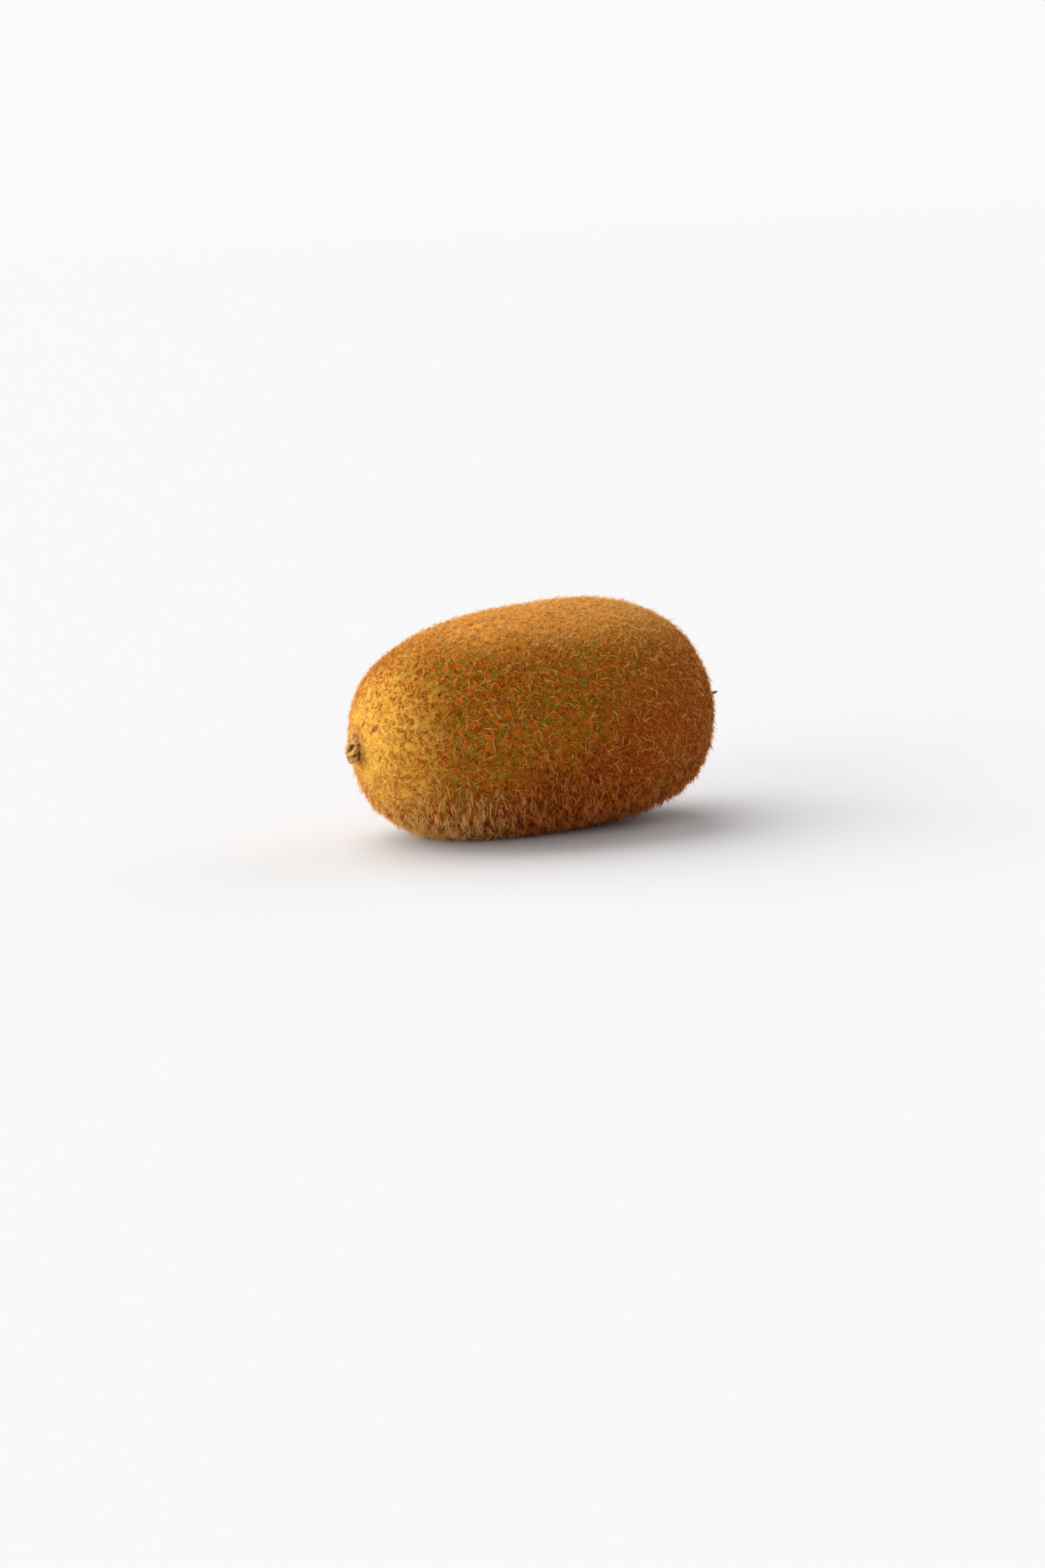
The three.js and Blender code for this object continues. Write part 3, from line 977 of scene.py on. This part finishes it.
def stub_mesh():
    """The broken stub: a lumpy knob with painted shade underneath, and a split across its end."""
    bm = turned(STUB_RINGS, STUB_STEPS)
    top = max(height for _, height in STUB_RINGS) * MM
    shades = []
    for vert in bm.verts:
        angle = math.atan2(vert.co.y, vert.co.x)
        out = math.hypot(vert.co.x, vert.co.y)
        high = max(0.0, vert.co.z) / top
        lobe = math.cos(STUB_LOBES * angle + LOBE_PHASE) * min(1, out / LOBE_REACH)
        lump = noise.noise(vert.co / STUB_LUMP + Vector((4, 9, 2)))
        lump += 0.3 * noise.noise(vert.co / STUB_FINE_LUMP + Vector((1, 3, 8)))
        across = vert.co.x * math.cos(SPLIT_TURN) + vert.co.y * math.sin(SPLIT_TURN)
        split = math.exp(-((across / SPLIT_WIDTH - lump) ** 2)) * high**2
        pith = math.exp(-((out / PITH_RADIUS) ** 2)) * high
        foot = math.exp(-(((vert.co.z - STUB_FOOT[0]) / STUB_FOOT[1]) ** 2))
        # Painted shade: darker on the lower side, in the split and round the foot, a little at the
        # pith; lighter on raised lumps and lobes
        below = 0.5 * high * max(0.0, -math.cos(angle))
        shades.append(0.5 * split + 0.1 * pith + 0.3 * foot + below - 0.8 * lump - 0.15 * lobe)
        grow_out = 1 + high * (0.07 * lobe + 0.22 * lump)
        vert.co.x *= grow_out * STUB_SQUAT
        vert.co.y *= grow_out
        vert.co.z += high * high * MM * (0.22 * lobe + 0.5 * lump) - SPLIT_DEPTH * split
        stands_out = max(0.0, vert.co.z - SEAT_DEPTH)
        vert.co.x -= STUB_LEAN * stands_out
        vert.co.y -= STUB_TURN * stands_out
    mesh = mesh_from(bm, "stem_stub_wood")
    paint_shade_and_tone(mesh, shades)
    mesh.transform(stem_end())
    return mesh


SEPALS = 5
SEPAL_SEED = 31
SEPAL_LENGTH = (0.7, 1.2)  # in mm, like its width
SEPAL_WIDTH = (0.6, 0.9)
SEPAL_THICKNESS = 0.12 * MM
SEPAL_PLACE = (1.95 * MM, 0, 0.95 * MM)
SEPAL_SHADE = 0.45
FIRST_SEPAL = 1.3  # how far round the stub it is, in radians


def sepal_bmesh(length, width):
    """One dried sepal: a thin curled scale, rooted at the origin and lying along x."""
    bm = bmesh.new()
    bmesh.ops.create_grid(bm, x_segments=8, y_segments=6, size=0.5)
    bmesh.ops.translate(bm, verts=bm.verts, vec=(0.5, 0, 0))
    for vert in bm.verts:
        along = vert.co.x
        taper = math.sin(math.pi * (0.15 + 0.8 * along)) ** 0.7
        vert.co.y *= width * taper
        vert.co.z = length * (0.35 * along * along - 0.1 * abs(vert.co.y) / width)
        vert.co.x *= length
    bmesh.ops.solidify(bm, geom=bm.faces[:], thickness=SEPAL_THICKNESS)
    bmesh.ops.recalc_face_normals(bm, faces=bm.faces)
    return bm


def sepals_mesh():
    """Five dried sepals, broken short, round the foot of the stub."""
    rng = np.random.default_rng(SEPAL_SEED)
    whole = bmesh.new()
    for index in range(SEPALS):
        scrap = sepal_bmesh(rng.uniform(*SEPAL_LENGTH) * MM, rng.uniform(*SEPAL_WIDTH) * MM)
        turn = 2 * math.pi * (index + rng.uniform(-0.15, 0.15)) / SEPALS - FIRST_SEPAL
        place = (
            stem_end()
            @ Matrix.Rotation(turn, 4, "Z")
            @ Matrix.Translation(SEPAL_PLACE)
            @ Matrix.Rotation(-0.25 - rng.uniform(0, 0.4), 4, "Y")
        )
        add_to(whole, scrap, place)
    mesh = mesh_from(whole, "sepal_scraps")
    paint_shade_and_tone(mesh, np.full(len(mesh.vertices), SEPAL_SHADE))
    return mesh


SCABS = (  # sideways and up from the stalk, length, width and turn, in mm and degrees
    (-6.5, 4.4, 1.9, 1.1, 50),
    (-5.6, 3.5, 0.9, 0.6, 20),
    (-2.1, 4.7, 1.2, 0.7, 75),
    (5.2, -3.4, 1.0, 0.7, 130),
)
SCAB_HEIGHT = 0.28 * MM
SCAB_LUMPS = 0.35


def scabs_mesh(skin):
    """The small dark scabs on the skin near the stalk."""
    pole = np.array(stem_end().translation)
    whole = bmesh.new()
    for sideways, up, length, width, turn in SCABS:
        offset = skin.points - pole - np.array((0, sideways * MM, up * MM))
        near = np.where(skin.points[:, 0] < 0, np.hypot(offset[:, 1], offset[:, 2]), np.inf)
        index = int(near.argmin())
        facing = Vector(skin.normals[index]).to_track_quat("Z", "Y").to_matrix().to_4x4()
        scab = bmesh.new()
        bmesh.ops.create_icosphere(scab, subdivisions=4, radius=1)
        for vert in scab.verts:
            vert.co *= 1 + SCAB_LUMPS * noise.noise(vert.co * 1.6 + Vector((sideways, up, 0)))
        size = Matrix.Diagonal((length / 2 * MM, width / 2 * MM, SCAB_HEIGHT, 1))
        place = Matrix.Translation(skin.points[index]) @ facing
        place = place @ Matrix.Rotation(math.radians(turn), 4, "Z") @ size
        add_to(whole, scab, place)
    return mesh_from(whole, "skin_scabs")


def scab_material(colours):
    """Dark dried sap."""
    make = Nodes("scab", 0.8, 0.05)
    grain = make.noise(GRAIN_SIZE)
    base = make.mix(make.fit(grain, 0.4, 0.75), colours.scab, colours.skin_rust)
    return make.finish(base, grain)


def style_bmesh(length, radius, hook, sides=8, lengths=9):
    """One dried style: a flat thread that curls over towards x, with a ragged knob at its tip."""
    bm = bmesh.new()
    bmesh.ops.create_cone(
        bm, cap_ends=True, cap_tris=True, segments=sides, radius1=1, radius2=0.35, depth=1
    )
    bmesh.ops.translate(bm, verts=bm.verts, vec=(0, 0, 0.5))
    cut_across(bm, lengths)
    for vert in bm.verts:
        high = vert.co.z
        knob = 1 + 0.5 * math.exp(-(((high - 0.95) / 0.06) ** 2))
        wrinkle = 1 + 0.25 * noise.noise(Vector((vert.co.x, vert.co.y, high * 4 + length / MM)))
        vert.co.x = vert.co.x * radius * knob * wrinkle + hook * high * high
        vert.co.y = vert.co.y * radius * 0.7 * knob * wrinkle
        vert.co.z = high * length - 0.4 * hook * high * high
    return bm


BOSS_RINGS = (  # radius and height of the boss that the styles stand on, in mm
    (0, 0),
    (0.8, 0),
    (1.5, 0),
    (1.52, 0.4),
    (1.45, 0.75),
    (1.1, 1.1),
    (0.6, 1.22),
    (0, 1.25),
)
BOSS_STEPS = 32
BOSS_LUMP = 0.5 * MM
TUFT_STYLES = 26
STYLE_SEED = 41
STYLE_LENGTH = (1.5, 2.8)  # in mm, like its radius and its hook
STYLE_RADIUS = (0.13, 0.25)
STYLE_HOOK = (0.3, 1.2)
LONG_STYLE = (3.5 * MM, 0.72 * MM, 2.1 * MM)
LONG_STYLE_PLACE = (0.45 * MM, 0, 1.0 * MM)
LONG_STYLE_TURN = math.radians(250)


def tuft_mesh():
    """The boss and its dried styles, the longest hooked towards the camera's side."""
    rng = np.random.default_rng(STYLE_SEED)
    whole = turned(BOSS_RINGS, BOSS_STEPS)
    for vert in whole.verts:
        vert.co *= 1 + 0.08 * noise.noise(vert.co / BOSS_LUMP)
    hooked = style_bmesh(*LONG_STYLE)
    turn = Matrix.Rotation(LONG_STYLE_TURN, 4, "Z")
    add_to(whole, hooked, turn @ Matrix.Translation(LONG_STYLE_PLACE))
    for index in range(TUFT_STYLES):
        length = rng.uniform(*STYLE_LENGTH) * MM
        radius = rng.uniform(*STYLE_RADIUS) * MM
        style = style_bmesh(length, radius, rng.uniform(*STYLE_HOOK) * MM, sides=6, lengths=6)
        ring = index % 2
        turn = 2 * math.pi * (index + rng.uniform(-0.3, 0.3)) / TUFT_STYLES
        place = (
            Matrix.Rotation(turn, 4, "Z")
            @ Matrix.Translation(((0.45 + 0.5 * ring) * MM, 0, (1.1 - 0.25 * ring) * MM))
            @ Matrix.Rotation(0.25 + 0.35 * ring + rng.uniform(-0.15, 0.25), 4, "Y")
        )
        add_to(whole, style, place)
    mesh = mesh_from(whole, "style_tuft")
    mesh.transform(blossom_end())
    return mesh


# The operators, one for each group of pieces


class KIWI_OT_skin(bpy.types.Operator):
    """Models the fruit's skin"""

    bl_idname = "kiwi.skin"
    bl_label = "Skin"

    def execute(self, context):
        form = settings("form")
        bm = bmesh.new()
        bmesh.ops.create_icosphere(bm, subdivisions=SKIN_SPLITS, radius=1)
        mesh = mesh_from(bm, "fruit_skin")
        points = fruit_points(unit(points_of(mesh)))
        set_points(mesh, points)
        pimples = noise_at(points, PIMPLE_SIZE, 3.0) + 0.5 * noise_at(points, FINE_PIMPLE_SIZE, 5.0)
        points += (form.relief * pimples)[:, None] * normals_of(mesh)
        seat_height = form.arch * (AXIS_RISE - 1) + STUB_RISE
        from_seat = np.hypot(points[:, 1] - STUB_ASIDE, points[:, 2] - seat_height)
        sunk = 1 - smooth_step(from_seat, STUB_SEAT_RADIUS - SEAT_GAP, STUB_SEAT_RADIUS + SEAT_GAP)
        points[:, 0] += np.where(points[:, 0] < 0, sunk * (SEAT_DEPTH + COLLAR_HEIGHT), 0)
        points = moved(points, laid_down())
        points[:, 2] = np.maximum(points[:, 2], 0)
        set_points(mesh, points)
        material = skin_material(settings("colours"))
        piece = new_piece("fruit_skin", mesh, material)
        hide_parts("fruit")
        return {"FINISHED"}


HAIR_PIECES = (  # name, what grows the hairs, cuts along a hair, pieces that share them
    ("felt", felt_hairs, 0, 2),
    ("fuzz", fuzz_hairs, 2, 6),
    ("down", down_hairs, 1, 3),
    ("collar_hairs", collar_hairs, 2, 1),
    ("long_hairs", long_hairs, 3, 1),
    ("belly_hairs", belly_hairs, 3, 1),
)


class KIWI_OT_hairs(bpy.types.Operator):
    """Grows the felt, the fuzz and the long hairs from the skin"""

    bl_idname = "kiwi.hairs"
    bl_label = "Hairs"

    def execute(self, context):
        skin = Skin(bpy.data.objects["fruit_skin"].data)
        material = hair_material(settings("colours"))
        for name, grown, cuts, shares in HAIR_PIECES:
            shape = strand_shape(cuts)
            hairs = grown(skin, settings("fuzz"))
            order = np.argsort(hairs["root"][:, 0], kind="stable")
            for number, chosen in enumerate(np.array_split(order, shares), 1):
                label = f"{name}_{number}" if shares > 1 else name
                part = {key: values[chosen] for key, values in hairs.items()}
                new_piece(label, hair_mesh(label, shape, part), material)
        return {"FINISHED"}


class KIWI_OT_stub(bpy.types.Operator):
    """Models the broken stub of the stalk and the scraps of sepal round it"""

    bl_idname = "kiwi.stub"
    bl_label = "Stalk stub"

    def execute(self, context):
        colours = settings("colours")
        wood = wood_material(colours)
        piece = new_piece("stem_stub_wood", stub_mesh(), wood)
        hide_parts("stem_stub")
        new_piece("sepal_scraps", sepals_mesh(), wood)
        skin = Skin(bpy.data.objects["fruit_skin"].data)
        new_piece("skin_scabs", scabs_mesh(skin), scab_material(colours))
        return {"FINISHED"}


class KIWI_OT_styles(bpy.types.Operator):
    """Models the tuft of dried styles"""

    bl_idname = "kiwi.styles"
    bl_label = "Dried styles"

    def execute(self, context):
        material = style_material(settings("colours"))
        piece = new_piece("style_tuft", tuft_mesh(), material)
        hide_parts("dried_styles")
        return {"FINISHED"}


PHOTO_WIDTH = 1200
PHOTO_HEIGHT = 1800
PIXELS_PER_MM = 6.0
FRUIT_PIXEL = (608, 826)  # the middle of the fruit's outline in the photograph
SENSOR = 36.0
FLOOR_REACH = 3.0  # from its middle to its edge, in metres
WINDOW_TONE = (1, 0.98, 0.95)
LIGHTS = (  # name, degrees round from the front, up and wide, and colour
    ("key", -105, 10, 70, WINDOW_TONE),
    ("front", -58, 12, 40, WINDOW_TONE),
    ("top", -155, 52, 70, (1, 0.99, 0.97)),
    ("rim", 108, 20, 60, (1, 1, 1)),
)


def way_to(azimuth, elevation):
    """The way out to a place round from the front and up from the floor, in radians."""
    flat = math.cos(elevation)
    return Vector((math.sin(azimuth) * flat, -math.cos(azimuth) * flat, math.sin(elevation)))


def add_sun(name, azimuth, elevation, size, power, tone):
    """A soft light from far off, round from the front and up from the floor, in degrees."""
    light = bpy.data.lights.new(name, "SUN")
    light.angle = math.radians(size)
    light.energy = power
    light.color = tone
    lamp = placed(name, light)
    away = way_to(math.radians(azimuth), math.radians(elevation))
    lamp.rotation_euler = away.to_track_quat("Z", "Y").to_euler()
    lamp.location = away


class KIWI_OT_stage(bpy.types.Operator):
    """Sets up the pale floor, the lights and the camera"""

    bl_idname = "kiwi.stage"
    bl_label = "Stage"

    def execute(self, context):
        stage = settings("stage")
        bm = bmesh.new()
        bmesh.ops.create_grid(bm, x_segments=1, y_segments=1, size=FLOOR_REACH)
        mesh = mesh_from(bm, "floor")
        floor = placed("floor", mesh)
        make = Nodes("floor_paper", 0.9, 0.1)
        mesh.materials.append(make.finish(stage.floor))

        for name, azimuth, elevation, size, tone in LIGHTS:
            add_sun(name, azimuth, elevation, size, getattr(stage, f"{name}_power"), tone)

        world = bpy.data.worlds.new("studio")
        context.scene.world = world
        world.use_nodes = True
        nodes, links = world.node_tree.nodes, world.node_tree.links
        path = nodes.new("ShaderNodeLightPath")
        seen = nodes.new("ShaderNodeMix")
        seen.inputs[2].default_value = stage.sky
        seen.inputs[3].default_value = stage.backdrop
        links.new(path.outputs["Is Camera Ray"], seen.inputs[0])
        links.new(seen.outputs[0], nodes["Background"].inputs["Strength"])
        nodes["Background"].inputs["Color"].default_value = (1, 1, 1, 1)
        context.scene.view_settings.view_transform = "Standard"

        self.add_camera(context, stage)
        return {"FINISHED"}

    def add_camera(self, context, stage):
        """Points the camera so that the fruit lies where it does in the photograph."""
        back = way_to(stage.azimuth, stage.elevation)
        level = back.to_track_quat("Z", "Y").to_matrix()
        facing = level @ Matrix.Rotation(stage.roll, 3, "Z")
        right, up = facing.col[0], facing.col[1]
        per_pixel = MM / PIXELS_PER_MM
        across = (FRUIT_PIXEL[0] - PHOTO_WIDTH / 2) * per_pixel
        above = (PHOTO_HEIGHT / 2 - FRUIT_PIXEL[1]) * per_pixel
        aim = FRUIT_MIDDLE - across * right - above * up
        camera = bpy.data.cameras.new("camera")
        camera.sensor_width = SENSOR
        camera.lens = SENSOR * stage.distance / (PHOTO_HEIGHT * per_pixel)
        camera.clip_start = 0.01
        view = placed("camera", camera)
        view.matrix_world = Matrix.Translation(aim + back * stage.distance) @ facing.to_4x4()
        context.scene.camera = view


class KIWI_PT_panel(bpy.types.Panel):
    """Lists the pieces of the kiwi fruit"""

    bl_label = "Kiwi fruit"
    bl_idname = "KIWI_PT_panel"
    bl_space_type = "VIEW_3D"
    bl_region_type = "UI"
    bl_category = "Kiwi"

    def draw(self, context):
        for operator in OPERATORS:
            self.layout.operator(operator.bl_idname)
        for group in GROUPS:
            box = self.layout.box()
            held = getattr(context.scene, group)
            for name in held.bl_rna.properties.keys():
                if name not in ("rna_type", "name"):
                    box.prop(held, name)


OPERATORS = (KIWI_OT_skin, KIWI_OT_hairs, KIWI_OT_stub, KIWI_OT_styles, KIWI_OT_stage)
GROUPS = {
    "kiwi_form": KiwiForm,
    "kiwi_colours": KiwiColours,
    "kiwi_fuzz": KiwiFuzz,
    "kiwi_stage": KiwiStage,
}


def register():
    for group in (*GROUPS.values(), *OPERATORS, KIWI_PT_panel):
        bpy.utils.register_class(group)
    for name, group in GROUPS.items():
        setattr(bpy.types.Scene, name, PointerProperty(type=group))


def unregister():
    for name in GROUPS:
        delattr(bpy.types.Scene, name)
    for group in reversed((*GROUPS.values(), *OPERATORS, KIWI_PT_panel)):
        bpy.utils.unregister_class(group)


def main():
    register()
    bpy.ops.kiwi.skin()
    bpy.ops.kiwi.hairs()
    bpy.ops.kiwi.stub()
    bpy.ops.kiwi.styles()
    bpy.ops.kiwi.stage()


if __name__ == "__main__":
    main()
